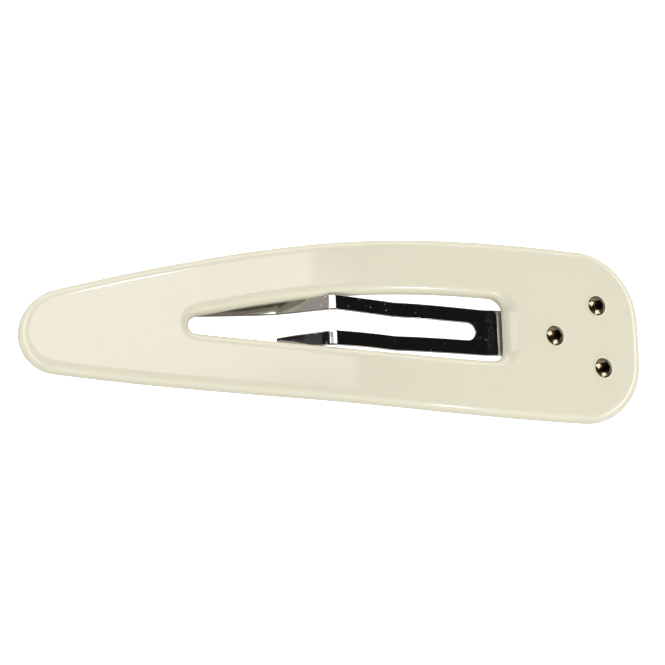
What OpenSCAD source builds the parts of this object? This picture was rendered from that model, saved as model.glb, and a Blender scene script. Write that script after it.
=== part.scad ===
// Snap hair clip. A glossy arched teardrop plate with a long window is carried by a
// spring-steel frame, whose slotted tongue rises in the window and snaps shut under
// the wide end. Three faceted stones are set in the plate.
// +X runs from the narrow end to the wide end and Z is up. The clip lies on its two
// ends, and the origin is the bottom centre of its closed box.

/* [Plate] */
// Length of the plate along the floor
plate_len = 73.6; // [66:0.2:90]
// Greatest width of the plate
plate_w = 20.7; // [19.8:0.1:24]
// Thickness of the plate
plate_t = 2; // [1.9:0.1:3]
// Radius of the narrow end, seen from above
nose_r = 5; // [4.2:0.1:6]
// Distance from the wide end back to the widest place
belly_back = 12.5; // [9:0.5:20]
// Radius of the two corners at the wide end, seen from above
corner_r = 7.8; // [5:0.1:8.5]
// Radius of the gently curved wide end, seen from above
end_r = 60; // [40:1:120]
// Rounding of the plate's upper edges
edge_r = 1.2; // [0.6:0.05:1.3]
// Rounding of the plate's lower edges
under_r = 0.5; // [0.2:0.05:0.6]

/* [Arch] */
// Slope that both halves of the arch tend to, as rise over run
arch_slope = 0.32; // [0.2:0.01:0.4]
// Half length over which the top of the arch is rounded
arch_round = 13.8; // [8:0.2:24]

/* [Window] */
// Solid length of the plate before the window, at the narrow end
solid_narrow = 18.8; // [17.6:0.2:24]
// Solid length of the plate behind the window, at the wide end
solid_wide = 17.8; // [17:0.2:22]
// Width of the plate's rail on either side of the window
rail_w = 6.55; // [6:0.05:6.8]
// Radius of the window's narrow end
window_nose_r = 1.1; // [0.8:0.05:1.3]
// Distance from the window's wide end back to its widest place
window_belly_back = 2.7; // [2:0.1:6]
// Radius of the window's two corners at its wide end
window_corner_r = 1.7; // [1:0.1:2]
// Radius of the window's nearly straight wide end
window_end_r = 90; // [60:1:200]

/* [Spring frame] */
// Thickness of the spring-steel sheet
sheet_t = 0.4; // [0.3:0.02:0.5]
// Distance from the plate's edge in to the frame's edge
frame_inset = 1.6; // [1.4:0.1:2.2]
// Width of each leg of the frame at its widest place
leg_w = 3.8; // [3.2:0.1:4]
// Length of the frame's broad band at the wide end
band_len = 10; // [8.5:0.5:12]
// Radius of the frame's two corners at its wide end
frame_corner_r = 4.5; // [4:0.1:5]
// Depth of the hollow between those corners, so that the frame lies on both
end_hollow = 0.3; // [0.2:0.05:0.6]
// Radius of the frame's opening at its two wide corners
opening_corner_r = 3; // [2:0.1:3.5]

/* [Tongue] */
// Width of each arm of the tongue where the slot ends at its tip
arm_w = 1.7; // [1.3:0.05:1.9]
// Width of the round tip
tip_w = 5.2; // [4.6:0.1:5.4]
// Width of the slot at its round root end
slot_root_w = 2.86; // [2.4:0.02:3]
// Radius of the tongue's round root
root_r = 2.75; // [2.5:0.05:2.8]
// Distance from the window's narrow end back to the middle of the root
root_back = 3.3; // [2.5:0.1:4.5]
// Distance from the middle of the slot's tip end on to the window's wide end
slot_short = 4.2; // [3:0.1:6]
// Length of the tongue that is caught under the band
catch_len = 4.5; // [3:0.1:6]
// Height of the hump above the tongue's seat
hump_h = 2.3; // [1.7:0.05:2.4]

/* [Stones] */
// Diameter of each stone at its girdle
stone_d = 2.3; // [1.8:0.05:2.6]
// Height of the stone's crown above its girdle
crown_h = 0.42; // [0.3:0.01:0.6]
// Depth of the stone's pointed back below its girdle
pavilion_h = 0.85; // [0.6:0.01:0.95]
// Thickness of the stone's girdle
girdle_t = 0.08; // [0.05:0.01:0.12]
// Diameter of the flat table on top of the stone
table_d = 1.25; // [0.9:0.05:1.4]
// Distance from the wide end back to the line of the outer two stones
stone_back = 5.5; // [4.5:0.1:6.5]
// Length from the outer two stones back to the inner one
stone_step = 6; // [4:0.1:7]
// Distance between the outer two stones
stone_spread = 7.5; // [5:0.1:9]
// Turn of the group of stones as they were set by hand, in degrees
stone_turn = 3.5; // [0:0.5:6]

/* [Rivet] */
// Diameter of the rivet's shank
shank_d = 1.6; // [1.2:0.1:1.8]
// Diameter of the rivet's flat head
head_d = 3.2; // [2.6:0.1:3.8]
// Thickness of the rivet's head
head_t = 0.5; // [0.3:0.05:0.7]
// Distance from the narrow end to the rivet
rivet_in = 7.3; // [6:0.1:8]
// Depth of the rivet's shank in the plate
shank_grip = 1.1; // [0.8:0.05:1.2]

/* [Fit] */
// Clearance between pieces that lie on each other
fit_gap = 0.06; // [0.04:0.01:0.1]
// Clearance round the tongue's round root, inside the frame
side_gap = 0.2; // [0.15:0.01:0.3]
// Gap between the window's wall and the hump where it stands up in the window
hump_gap = 0.1; // [0.08:0.01:0.2]

/* [Hidden] */

// Steps round the four arcs of half an outline: narrow end, side, corner, wide end
arc_steps = [8, 26, 9, 1];
// Steps round an upper and a lower rounded edge, and across the flat between them
edge_steps = 4;
under_steps = 2;
flat_steps = 4;
// Steps round each half of the slot's two ends, and how many of the tip's fan of lines
// end on its straight side, not on the round tip
root_steps = 6;
tip_steps = 8;
tip_side_steps = 4;
// Facets round a stone: the girdle has two for each facet of the table
table_sides = 8;

// Columns: share of the arm's length from the root to the slot's tip end; how far the
// slot has narrowed from its root's width to its tip's; outer edge as a share of half
// the hump's width; crease as a share across the arm; heights above the seat at the
// slot's edge, the crease and the outer edge as shares of the hump's height
arm_rows = [
    [0.05, 0.0, 1.004, 0.3, -0.11, -0.11, -0.14],
    [0.11, 0.0, 1.062, 0.15, -0.23, -0.23, -0.34],
    [0.18, 0.0, 1.11, 0.06, -0.34, -0.34, -0.54],
    [0.26, 0.0, 1.13, 0.08, -0.43, -0.43, -0.66],
    [0.316, 0.11, 1.13, 0.18, -0.4, -0.4, -0.605],
    [0.371, 0.1, 1.11, 0.215, -0.317, -0.317, -0.505],
    [0.377, 0.14, 1.109, 0.12, -0.28, -0.288, -0.505],
    [0.427, 0.35, 1.042, 0.427, 0.14, 0.111, -0.02],
    [0.444, 0.38, 0.997, 0.655, 0.278, 0.236, 0.15],
    [0.448, 0.385, 0.875, 0.86, 0.31, 0.267, 0.24],
    [0.462, 0.4, 0.902, 0.92, 0.42, 0.37, 0.355],
    [0.488, 0.45, 0.933, 0.95, 0.63, 0.574, 0.565],
    [0.504, 0.48, 0.953, 0.96, 0.76, 0.7, 0.695],
    [0.524, 0.515, 0.975, 0.5, 0.965, 0.965, 0.965],
    [0.547, 0.55, 1.0, 0.5, 1.0, 1.0, 1.0],
    [0.6, 0.63, 0.977, 0.5, 0.73, 0.73, 0.73],
    [0.652, 0.7, 0.968, 0.5, 0.467, 0.467, 0.467],
    [0.751, 0.75, 0.968, 0.5, -0.035, -0.035, -0.035],
    [0.83, 0.84, 0.96, 0.5, -0.03, -0.03, -0.03],
    [0.91, 0.93, 0.95, 0.5, -0.06, -0.06, -0.06],
    [1.0, 1.0, 0.935, 0.5, -0.1, -0.1, -0.1]
];
// Share of the arm's length at which the hump is highest
hump_share = [for (row = arm_rows) if (row[5] == 1) row[0]][0];
// Columns: share of the length from the middle of the slot's tip end to the tip, and
// height above the seat as a share of the hump's height
tip_rows = [[0, -0.1], [0.14, -0.13], [0.285, 0.09], [0.45, 0.05], [0.68, 0], [1, -0.11]];

// Ends of the plate, the window and the frame's opening along X
plate_x0 = -plate_len / 2;
plate_x1 = plate_len / 2;
window_x0 = plate_x0 + solid_narrow;
window_x1 = plate_x1 - solid_wide;
opening_x1 = plate_x1 - frame_inset - band_len;

// Middles of the slot's two round ends, and the ends of the tongue
root_x = window_x0 - root_back;
slot_x = window_x1 - slot_short;
arm_len = slot_x - root_x;
tongue_x0 = root_x - root_r;
tip_x = opening_x1 + catch_len;

// The four arcs of half an outline, each [centre x, centre y, radius, angle, angle],
// tangent to each other: narrow end, long side, corner and wide end. A wide end of
// negative radius is hollow.
function teardrop(x0, x1, nose, half_w, belly, corner, end) =
    let (
        nose_x = x0 + nose,
        side_x = x1 - belly,
        side = (pow(side_x - nose_x, 2) / (half_w - nose) + nose + half_w) / 2,
        side_y = half_w - side,
        end_x = x1 - end,
        along = [end_x - side_x, -side_y],
        dist = norm(along),
        reach = (pow(side - corner, 2) - pow(end - corner, 2) + dist * dist) / (2 * dist),
        bulge = sign(end),
        rise = bulge * sqrt(pow(side - corner, 2) - reach * reach),
        unit = along / dist,
        corner_x = side_x + unit[0] * reach + unit[1] * rise,
        corner_y = side_y + unit[1] * reach - unit[0] * rise,
        a_side = atan2(-side_y, nose_x - side_x),
        a_corner = atan2(corner_y - side_y, corner_x - side_x),
        a_end = atan2(bulge * corner_y, bulge * (corner_x - end_x))
    ) [
        [nose_x, 0, nose, 180, a_side],
        [side_x, side_y, side, a_side, a_corner],
        [corner_x, corner_y, corner, a_corner, a_end],
        [end_x, 0, end, a_end, 0]
    ];

plate_arcs = teardrop(
    plate_x0, plate_x1, nose_r, plate_w / 2, belly_back, corner_r, end_r
);
window_arcs = teardrop(
    window_x0, window_x1, window_nose_r, plate_w / 2 - rail_w,
    window_belly_back, window_corner_r, window_end_r
);
frame_half = plate_w / 2 - frame_inset;
hollow_half = frame_half - frame_corner_r;
hollow_r = (pow(hollow_half, 2) + pow(end_hollow, 2)) / (2 * end_hollow) - frame_corner_r;
frame_arcs = teardrop(
    plate_x0 + frame_inset, plate_x1 - frame_inset - end_hollow, nose_r - frame_inset,
    frame_half, belly_back - frame_inset, frame_corner_r, -hollow_r
);
opening_arcs = teardrop(
    tongue_x0 - side_gap, opening_x1, root_r + side_gap,
    frame_half - leg_w, belly_back, opening_corner_r, end_r
);

// Points of half an outline, moved inwards by off, from the narrow end to the wide end
function half_loop(arcs, off) = [
    for (k = [0 : 3]) let (
        arc = arcs[k],
        last = k == 3 ? arc_steps[k] : arc_steps[k] - 1
    ) for (i = [0 : last]) let (
        a = arc[3] + (arc[4] - arc[3]) * i / arc_steps[k],
        r = arc[2] - off
    ) [arc[0] + r * cos(a), i == arc_steps[k] ? 0 : arc[1] + r * sin(a)]
];

// A half list of stations made whole: each station is a list of points, and the
// second half is the first one mirrored, without its two ends on the centre line
function mirrored(half) = concat(half, [
    for (i = [len(half) - 2 : -1 : 1]) [for (p = half[i]) [p[0], -p[1], p[2]]]
]);

// Height of the arched upper face, and of the levels under it
function arch(x) = -arch_slope * (sqrt(x * x + arch_round * arch_round) - arch_round);
function arch_lean(x) = atan(arch_slope * x / sqrt(x * x + arch_round * arch_round));
frame_drop = plate_t + fit_gap + sheet_t;
frame_reach = max(plate_x1 - frame_inset, frame_arcs[2][0] + frame_corner_r);
apex_z = max(frame_drop - arch(frame_reach), plate_t - arch(plate_x1 - under_r));
function top_z(x) = apex_z + arch(x);
function seat_z(x) = top_z(x) - frame_drop - fit_gap;

// A closed ring skinned over stations, each a closed section with as many points
module ring(stations) {
    n = len(stations);
    m = len(stations[0]);
    function at(i, j) = (i % n) * m + (j % m);
    polyhedron(
        points = [for (s = stations) for (p = s) p],
        faces = [
            for (i = [0 : n - 1]) for (j = [0 : m - 1]) each [
                [at(i, j), at(i + 1, j), at(i + 1, j + 1)],
                [at(i, j), at(i + 1, j + 1), at(i, j + 1)]
            ]
        ]
    );
}

// Section of a flat ring as [edge, inset, height]: edge 0 is the outer one and 1 the
// inner one, and between them the share across the flat
function edge_arc(edge, r, height, from, to, steps) = [
    for (i = [0 : steps]) let (a = from + (to - from) * i / steps)
        [edge, r * (1 - cos(a)), height + r * sin(a)]
];
function flat_line(from, to, inset, height) = [
    for (i = [1 : flat_steps - 1]) [from + (to - from) * i / flat_steps, inset, height]
];
plate_section = concat(
    edge_arc(0, under_r, under_r, -90, 0, under_steps),
    edge_arc(0, edge_r, plate_t - edge_r, 0, 90, edge_steps),
    flat_line(0, 1, edge_r, plate_t),
    edge_arc(1, edge_r, plate_t - edge_r, 90, 0, edge_steps),
    edge_arc(1, under_r, under_r, 0, -90, under_steps),
    flat_line(1, 0, under_r, 0)
);
frame_section = concat(
    [[0, 0, 0], [0, 0, sheet_t]],
    flat_line(0, 1, 0, sheet_t),
    [[1, 0, sheet_t], [1, 0, 0]],
    flat_line(1, 0, 0, 0)
);

// Stations of a ring between two outlines, with its underside this far below the arch
function ring_stations(outer, inner, section, drop) = let (
    loops = [for (s = section) [
        half_loop(outer, s[1]),
        half_loop(inner, -s[1])
    ]],
    count = len(loops[0][0])
) mirrored([
    for (i = [0 : count - 1]) [
        for (j = [0 : len(section) - 1]) let (
            a = loops[j][0][i],
            b = loops[j][1][i],
            p = a + (b - a) * section[j][0]
        ) [p[0], p[1], top_z(p[0]) - drop + section[j][2]]
    ]
]);

// Moves a child onto the arch at a place, with its own Z along the arch's normal
module on_arch(x, y = 0) {
    translate([x, y, top_z(x)]) rotate([0, arch_lean(x), 0]) children();
}

// Depth of a level under the arch, measured along the normal instead of upright
function normal_depth(x, depth) = depth * cos(arch_lean(x));

rivet_x = plate_x0 + rivet_in;
rivet_base = normal_depth(rivet_x, plate_t);
rivet_seat = normal_depth(rivet_x, frame_drop) + fit_gap;

module rivet_bore() {
    on_arch(rivet_x) translate([0, 0, -rivet_seat - head_t])
        cylinder(
            d = shank_d + 2 * fit_gap,
            h = rivet_seat + head_t - rivet_base + shank_grip + fit_gap,
            $fn = 32
        );
}

// Places of the stones, the inner one first
stones_x = plate_x1 - stone_back;
stone_offsets = [[-stone_step, 0], [0, stone_spread / 2], [0, -stone_spread / 2]];
stone_places = [for (o = stone_offsets) [
    stones_x + o[0] * cos(stone_turn) - o[1] * sin(stone_turn),
    o[0] * sin(stone_turn) + o[1] * cos(stone_turn)
]];
stone_depth = pavilion_h + girdle_t;

module stone_seat(i) {
    on_arch(stone_places[i][0], stone_places[i][1])
        translate([0, 0, -stone_depth - fit_gap])
            cylinder(d = stone_d + 2 * fit_gap, h = 2 * stone_depth, $fn = 32);
}

module plate() {
    color("ivory") difference() {
        ring(ring_stations(plate_arcs, window_arcs, plate_section, plate_t));
        for (i = [0 : len(stone_places) - 1]) stone_seat(i);
        rivet_bore();
    }
}

module spring_frame() {
    color("lightslategray") difference() {
        ring(ring_stations(
            frame_arcs, opening_arcs, frame_section, frame_drop
        ));
        rivet_bore();
    }
}

// Half width of the window, on its long side, at a place along X
function window_half(x) =
    window_arcs[1][1] + sqrt(pow(window_arcs[1][2], 2) - pow(x - window_arcs[1][0], 2));
hump_half = window_half(root_x + hump_share * arm_len) - hump_gap;

// Height of the tongue's upper face above its seat, towards its tip
function tip_rise(x) = hump_h * lookup((x - slot_x) / (tip_x - slot_x), tip_rows);

// Section of the tongue from its inner edge a to its outer edge b, with a crease a
// share of the way across, and the heights of the three above the seat
function tongue_section(a, b, crease, rises) = let (
    upper = [for (q = [0, crease / 2, crease, (1 + crease) / 2, 1]) let (
        p = a + (b - a) * q,
        rise = lookup(q, [[0, rises[0]], [crease, rises[1]], [1, rises[2]]])
    ) [p[0], p[1], seat_z(p[0]) + rise]],
    lower = [for (p = upper) p - [0, 0, sheet_t]]
) concat([for (i = [4 : -1 : 0]) upper[i]], lower);

root_half = slot_root_w / 2;
last_row = arm_rows[len(arm_rows) - 1];
tip_half = tip_w / 2;
tip_side_x = tip_x - tip_half;
slot_half = last_row[2] * hump_half - arm_w;

root_stations = [
    for (i = [0 : root_steps]) let (a = 180 - 90 * i / root_steps)
        tongue_section(
            [root_x + root_half * cos(a), i == 0 ? 0 : root_half * sin(a)],
            [root_x + root_r * cos(a), i == 0 ? 0 : root_r * sin(a)],
            0.5, [0, 0, 0]
        )
];
arm_stations = [
    for (row = arm_rows) let (
        x = root_x + row[0] * arm_len,
        outer = row[2] * hump_half,
        inner = root_half + (slot_half - root_half) * row[1]
    ) tongue_section(
        [x, inner], [x, outer], row[3], [row[4], row[5], row[6]] * hump_h
    )
];
tip_stations = [
    for (i = [0 : tip_steps]) let (
        s = i / tip_steps,
        t = (i - tip_side_steps) / (tip_steps - tip_side_steps),
        a = 90 * (1 - s),
        side = last_row[2] * hump_half,
        along = i / tip_side_steps,
        outer = t < 0
            ? [slot_x + (tip_side_x - slot_x) * along, side + (tip_half - side) * along]
            : [tip_side_x + tip_half * sin(90 * t), tip_half * cos(90 * t)],
        inner = [slot_x + slot_half * cos(a), slot_half * sin(a)],
        on_axis = i == tip_steps ? 0 : 1,
        a_point = [inner[0], inner[1] * on_axis],
        b_point = [outer[0], outer[1] * on_axis]
    ) tongue_section(
        a_point, b_point, 0.5,
        [tip_rise(a_point[0]), tip_rise((a_point[0] + b_point[0]) / 2), tip_rise(b_point[0])]
    )
];

module tongue() {
    color("silver")
        ring(mirrored(concat(root_stations, arm_stations, tip_stations)));
}

module rivet() {
    color("gray") on_arch(rivet_x) translate([0, 0, -rivet_seat - head_t]) {
        cylinder(d = head_d, h = head_t, $fn = 48);
        cylinder(
            d = shank_d, h = rivet_seat + head_t - rivet_base + shank_grip, $fn = 32
        );
    }
}

// A round stone with a flat table, kite and star facets on its crown, a thin girdle
// and a pointed back, its girdle's upper edge at height 0
module stone(i) {
    girdle_r = stone_d / 2;
    table_r = table_d / 2;
    star_r = (girdle_r + table_r) / 2;
    half = 180 / table_sides;
    star_z = crown_h * (girdle_r - star_r * cos(half)) / (girdle_r - table_r);
    n = 2 * table_sides;
    function turn(r, a, z) = [r * cos(a), r * sin(a), z];
    table = [for (k = [0 : table_sides - 1]) turn(table_r, 2 * half * k, crown_h)];
    star = [for (k = [0 : table_sides - 1]) turn(star_r, 2 * half * k + half, star_z)];
    upper = [for (k = [0 : n - 1]) turn(girdle_r, half * k, 0)];
    lower = [for (k = [0 : n - 1]) turn(girdle_r, half * k, -girdle_t)];
    s0 = table_sides;
    u0 = 2 * table_sides;
    l0 = u0 + n;
    tip = l0 + n;
    color("saddlebrown") on_arch(stone_places[i][0], stone_places[i][1]) polyhedron(
        points = concat(table, star, upper, lower, [[0, 0, -girdle_t - pavilion_h]]),
        faces = concat(
            [[for (k = [table_sides - 1 : -1 : 0]) k]],
            [for (k = [0 : table_sides - 1]) let (
                next = (k + 1) % table_sides,
                g = 2 * k
            ) each [
                [k, next, s0 + k],
                [k, s0 + k, u0 + g],
                [next, u0 + (g + 2) % n, s0 + k],
                [s0 + k, u0 + g + 1, u0 + g],
                [s0 + k, u0 + (g + 2) % n, u0 + g + 1]
            ]],
            [for (k = [0 : n - 1]) let (next = (k + 1) % n) each [
                [u0 + k, u0 + next, l0 + next],
                [u0 + k, l0 + next, l0 + k],
                [l0 + k, l0 + next, tip]
            ]]
        )
    );
}
module stone_1() { stone(0); }
module stone_2() { stone(1); }
module stone_3() { stone(2); }

plate();
spring_frame();
tongue();
rivet();
stone_1();
stone_2();
stone_3();
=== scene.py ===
"""Snap hair clip with a glossy cream plate, a spring-steel tongue and three small stones.

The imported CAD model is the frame. Each sub-assembly of the clip is a class that works out
its surfaces with numpy in the same millimetres, dresses them and hangs them on the body
that carries them. Lengths are in millimetres until a mesh is made, which is in metres.
"""

import logging
import math
from dataclasses import dataclass, field
from enum import Enum
from typing import Mapping, Sequence

import bpy
import numpy as np
from mathutils import Matrix, Vector


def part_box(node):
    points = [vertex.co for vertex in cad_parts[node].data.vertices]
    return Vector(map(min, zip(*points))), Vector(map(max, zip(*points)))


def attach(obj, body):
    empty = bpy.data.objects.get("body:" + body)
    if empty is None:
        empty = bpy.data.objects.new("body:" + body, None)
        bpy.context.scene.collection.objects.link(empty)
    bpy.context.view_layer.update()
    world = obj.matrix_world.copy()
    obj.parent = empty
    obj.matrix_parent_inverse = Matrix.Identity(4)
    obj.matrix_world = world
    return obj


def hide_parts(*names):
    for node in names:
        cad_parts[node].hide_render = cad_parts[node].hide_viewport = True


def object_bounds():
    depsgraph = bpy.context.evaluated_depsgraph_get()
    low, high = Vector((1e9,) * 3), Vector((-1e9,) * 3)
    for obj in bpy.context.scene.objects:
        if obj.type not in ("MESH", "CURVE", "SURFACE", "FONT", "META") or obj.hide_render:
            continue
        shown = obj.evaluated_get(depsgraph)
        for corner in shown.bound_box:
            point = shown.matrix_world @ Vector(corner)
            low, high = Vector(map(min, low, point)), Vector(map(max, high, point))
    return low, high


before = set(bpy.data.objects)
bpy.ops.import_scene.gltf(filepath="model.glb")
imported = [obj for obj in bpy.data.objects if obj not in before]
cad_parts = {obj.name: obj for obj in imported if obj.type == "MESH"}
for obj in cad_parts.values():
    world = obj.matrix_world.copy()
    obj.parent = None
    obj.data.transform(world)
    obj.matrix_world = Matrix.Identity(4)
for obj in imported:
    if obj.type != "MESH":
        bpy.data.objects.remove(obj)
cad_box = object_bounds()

LOG = logging.getLogger("snap_clip")
MM = 0.001
Row = Sequence[float]
Mesh = tuple[np.ndarray, Sequence]


class Body(Enum):
    """The two moving bodies of the clip."""

    CLIP = "clip"
    BLADE = "blade"


class Slot(Enum):
    """Names of the pieces' material slots."""

    PLATE = "plate"
    FRAME = "frame_steel"
    TONGUE = "tongue_steel"
    RIVET = "rivet_steel"
    STONE = "stone"


# Shader expressions


class Value:
    """A float socket whose operators add Math nodes to its tree."""

    def __init__(self, sheet: "Sheet", socket: bpy.types.NodeSocket) -> None:
        """Wraps a socket of the given sheet's tree."""
        self.sheet = sheet
        self.socket = socket

    def _math(self, operation: str, first: object, second: object) -> "Value":
        """Result of one more Math node with two inputs, each a Value or a number."""
        node = self.sheet.add("ShaderNodeMath", {"operation": operation}, {0: first, 1: second})
        return Value(self.sheet, node.outputs[0])

    def __add__(self, other: object) -> "Value":
        """Sum."""
        return self._math("ADD", self, other)

    __radd__ = __add__

    def __sub__(self, other: object) -> "Value":
        """Difference."""
        return self._math("SUBTRACT", self, other)

    def __rsub__(self, other: object) -> "Value":
        """Difference from a number on the left."""
        return self._math("SUBTRACT", other, self)

    def __mul__(self, other: object) -> "Value":
        """Product."""
        return self._math("MULTIPLY", self, other)

    __rmul__ = __mul__

    def over(self, edge: float, width: float) -> "Value":
        """A soft step.

        Args:
            edge: value at which the step is half way up.
            width: how wide the step is.

        Returns:
            0 below the edge, 1 above it.
        """
        node = self.sheet.add(
            "ShaderNodeMapRange", {"interpolation_type": "SMOOTHSTEP"},
            {"Value": self, "From Min": edge - width / 2, "From Max": edge + width / 2},
        )
        return Value(self.sheet, node.outputs["Result"])


class Sheet:
    """One material's node tree, filled by plain calls."""

    MIX_LOW, MIX_HIGH, MIX_RESULT = 6, 7, 2

    def __init__(self, name: str) -> None:
        """Makes an empty material.

        Args:
            name: the material's name.
        """
        self.material = bpy.data.materials.new(name)
        self.material.use_nodes = True
        self.tree = self.material.node_tree
        self.tree.nodes.clear()
        self.output = self.add("ShaderNodeOutputMaterial")
        self.place = self.add("ShaderNodeTexCoord").outputs["Object"]

    def add(self, kind: str, settings: Mapping | None = None,
            inputs: Mapping | None = None) -> bpy.types.Node:
        """Adds one node.

        Args:
            kind: Blender's type name of the node.
            settings: properties of the node, set before its sockets.
            inputs: a value, a Value or a socket for each input, by name or number.

        Returns:
            The node.
        """
        node = self.tree.nodes.new(kind)
        for name, value in (settings or {}).items():
            setattr(node, name, value)
        for name, value in (inputs or {}).items():
            link = value.socket if isinstance(value, Value) else value
            if isinstance(link, bpy.types.NodeSocket):
                self.tree.links.new(link, node.inputs[name])
            else:
                node.inputs[name].default_value = value
        return node

    def stretched(self, scale: Row) -> bpy.types.NodeSocket:
        """Object coordinates in periods, of which scale gives the number for each metre."""
        node = self.add("ShaderNodeMapping", None, {"Vector": self.place, "Scale": scale})
        return node.outputs["Vector"]

    def noise(self, scale: Row, detail: float = 2.0, rough: float = 0.5) -> Value:
        """Fractal noise over the object.

        Args:
            scale: periods for each metre along X, Y and Z.
            detail: number of octaves.
            rough: strength of each finer octave.

        Returns:
            The noise, about 0 to 1 round 0.5.
        """
        node = self.add(
            "ShaderNodeTexNoise", {"noise_dimensions": "3D"},
            {"Vector": self.stretched(scale), "Scale": 1.0, "Detail": detail,
             "Roughness": rough},
        )
        return Value(self, node.outputs[0])

    def cells(self, scale: Row) -> Value:
        """Distance to the nearest of many scattered points.

        Args:
            scale: cells for each metre along X, Y and Z.

        Returns:
            The distance in cells.
        """
        node = self.add(
            "ShaderNodeTexVoronoi", {"feature": "F1"},
            {"Vector": self.stretched(scale), "Scale": 1.0},
        )
        return Value(self, node.outputs["Distance"])

    def blend(self, factor: Value, low: object, high: object) -> bpy.types.NodeSocket:
        """A colour between two.

        Args:
            factor: 0 gives the low colour, and 1 the high one.
            low: colour or colour socket.
            high: colour or colour socket.

        Returns:
            The mixed colour.
        """
        node = self.add(
            "ShaderNodeMix", {"data_type": "RGBA"},
            {0: factor, self.MIX_LOW: low, self.MIX_HIGH: high},
        )
        return node.outputs[self.MIX_RESULT]

    def bump(self, height: Value, depth_mm: float) -> bpy.types.NodeSocket:
        """The normal of a relief from 0 to 1 that is so many millimetres deep."""
        node = self.add("ShaderNodeBump", None, {"Height": height, "Distance": depth_mm * MM})
        return node.outputs["Normal"]

    def finish(self, **sockets: object) -> bpy.types.Material:
        """Closes the tree with one principled shader.

        Args:
            **sockets: values or links, by the shader's socket names with _ for a space.

        Returns:
            The material.
        """
        named = {name.replace("_", " "): value for name, value in sockets.items()}
        shader = self.add("ShaderNodeBsdfPrincipled", None, named)
        self.tree.links.new(shader.outputs[0], self.output.inputs["Surface"])
        return self.material


# Finishes


# In every finish, a scale is periods for each metre along X, Y and Z, and an edge is the
# value at a soft step and the step's width.


@dataclass(frozen=True)
class CreamGloss:
    """High gloss cream plastic, faintly cloudy, with a hint of moulding ripple."""

    pale: Row = (0.82, 0.782, 0.598, 1.0)
    deep: Row = (0.80, 0.762, 0.578, 1.0)
    cloud_scale: Row = (60, 90, 90)
    haze_scale: Row = (400, 400, 400)
    ripple_scale: Row = (260, 260, 260)
    roughness: float = 0.09
    haze_spread: float = 0.03
    ripple_mm: float = 0.004

    def material(self) -> bpy.types.Material:
        """Makes the material.

        Returns:
            The material.
        """
        sheet = Sheet("cream_gloss")
        cloud = sheet.noise(self.cloud_scale, 3.0).over(0.5, 0.5)
        haze = sheet.noise(self.haze_scale, 3.0)
        ripple = sheet.noise(self.ripple_scale, 1.0)
        return sheet.finish(
            Base_Color=sheet.blend(cloud, self.deep, self.pale),
            Roughness=haze * self.haze_spread + (self.roughness - self.haze_spread / 2),
            Normal=sheet.bump(ripple, self.ripple_mm),
            IOR=1.5,
        )


@dataclass(frozen=True)
class Steel:
    """Rolled spring steel, from mirror bright to plain, with rare small pits."""

    name: str
    pale: Row
    deep: Row
    roughness: float
    grain: float
    specks: float = 0.0
    grain_scale: Row = (350, 9000, 9000)
    stain_scale: Row = (300, 300, 300)
    pit_scale: Row = (1500, 1500, 1500)
    pit_edge: Row = (0.16, 0.12)
    rare_scale: Row = (700, 700, 700)
    rare_edge: Row = (0.54, 0.1)
    pit_roughness: float = 0.6
    relief_mm: float = 0.003

    def material(self) -> bpy.types.Material:
        """Makes the material.

        Returns:
            The material.
        """
        sheet = Sheet(self.name)
        lines = sheet.noise(self.grain_scale, 3.0, 0.6) * self.grain
        stain = sheet.noise(self.stain_scale, 4.0, 0.55)
        pits = 1.0 - sheet.cells(self.pit_scale).over(*self.pit_edge)
        rare = sheet.noise(self.rare_scale, 1.0).over(*self.rare_edge)
        marks = pits * rare * self.specks
        smooth = self.roughness - self.grain / 2
        return sheet.finish(
            Base_Color=sheet.blend(stain, self.deep, self.pale),
            Metallic=1.0,
            Roughness=lines + marks * self.pit_roughness + smooth,
            Normal=sheet.bump(lines + marks, self.relief_mm),
        )


@dataclass(frozen=True)
class Mottled:
    """A finish whose tone and roughness follow the same noise."""

    name: str
    pale: Row
    deep: Row
    scale: Row
    roughness: float
    spread: float
    metallic: float = 0.0
    glassy: float = 0.0
    ior: float = 1.5
    sheen: Row = (1.0, 1.0, 1.0, 1.0)

    def material(self) -> bpy.types.Material:
        """Makes the material.

        Returns:
            The material.
        """
        sheet = Sheet(self.name)
        noise = sheet.noise(self.scale)
        return sheet.finish(
            Base_Color=sheet.blend(noise, self.deep, self.pale),
            Metallic=self.metallic,
            Roughness=noise * self.spread + self.roughness,
            IOR=self.ior,
            Transmission_Weight=self.glassy,
            Specular_Tint=self.sheen,
        )


@dataclass(frozen=True)
class FloorPaper:
    """White studio paper that glows a little, so that it stays white everywhere."""

    tone: Row = (0.9, 0.9, 0.9, 1.0)
    glow: float = 1.0

    def material(self) -> bpy.types.Material:
        """Makes the material.

        Returns:
            The material.
        """
        return Sheet("floor_paper").finish(
            Base_Color=self.tone, Roughness=0.9, Emission_Color=(1.0, 1.0, 1.0, 1.0),
            Emission_Strength=self.glow, Specular_IOR_Level=0.0,
        )


FRAME_STEEL = Steel("frame_steel", pale=(0.55, 0.54, 0.51, 1.0), deep=(0.42, 0.41, 0.385, 1.0),
                    roughness=0.28, grain=0.2)
TONGUE_STEEL = Steel("tongue_steel", pale=(0.66, 0.645, 0.63, 1.0),
                     deep=(0.58, 0.565, 0.55, 1.0), roughness=0.07, grain=0.04, specks=0.5)
RIVET_STEEL = Steel("rivet_steel", pale=(0.62, 0.61, 0.6, 1.0), deep=(0.5, 0.49, 0.48, 1.0),
                    roughness=0.22, grain=0.1)

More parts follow.
